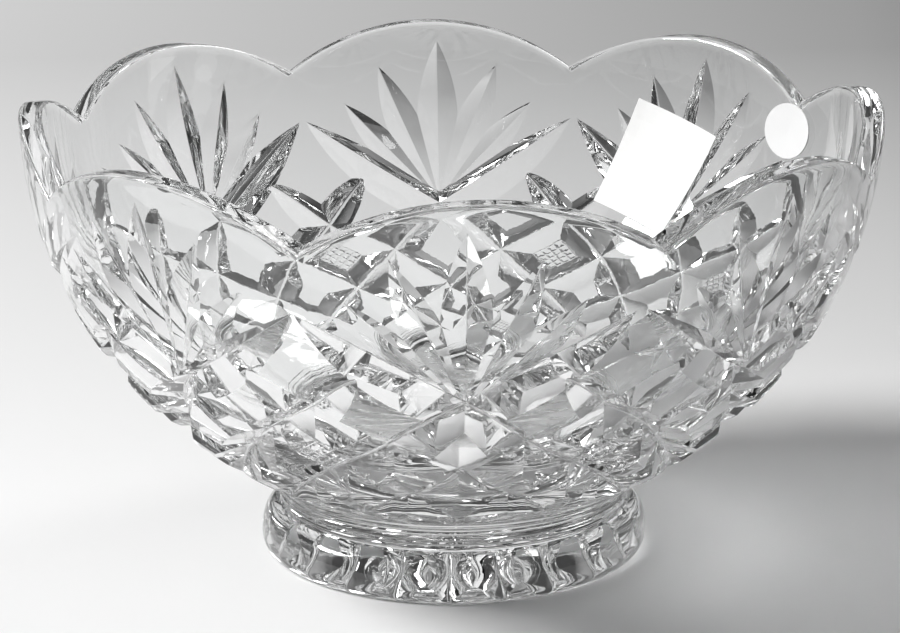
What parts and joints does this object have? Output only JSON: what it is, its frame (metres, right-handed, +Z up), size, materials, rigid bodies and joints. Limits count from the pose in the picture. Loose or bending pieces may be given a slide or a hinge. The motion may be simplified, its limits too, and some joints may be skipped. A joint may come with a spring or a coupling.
{
  "type": "glass bowl",
  "caption": "Round footed cut-glass bowl with a scalloped rim, fan and diamond cuts, a star-cut foot and two blank paper labels inside.",
  "frame": {"origin": "centre of the foot's resting ring, on the table", "axes": "+Z up; the fan cut at turn 0 and its scallop face -Y; the paper labels are inside the wall on the +X +Y side"},
  "size_m": [0.2046, 0.2046, 0.1105],
  "materials": {
    "glass": "clear, bright-polished cut crystal",
    "paper": "matt white paper, blank"
  },
  "bodies": {
    "root": {"bowl": "glass", "foot": "glass", "price_label": "paper", "oval_seal": "paper"}
  },
  "joints": []
}
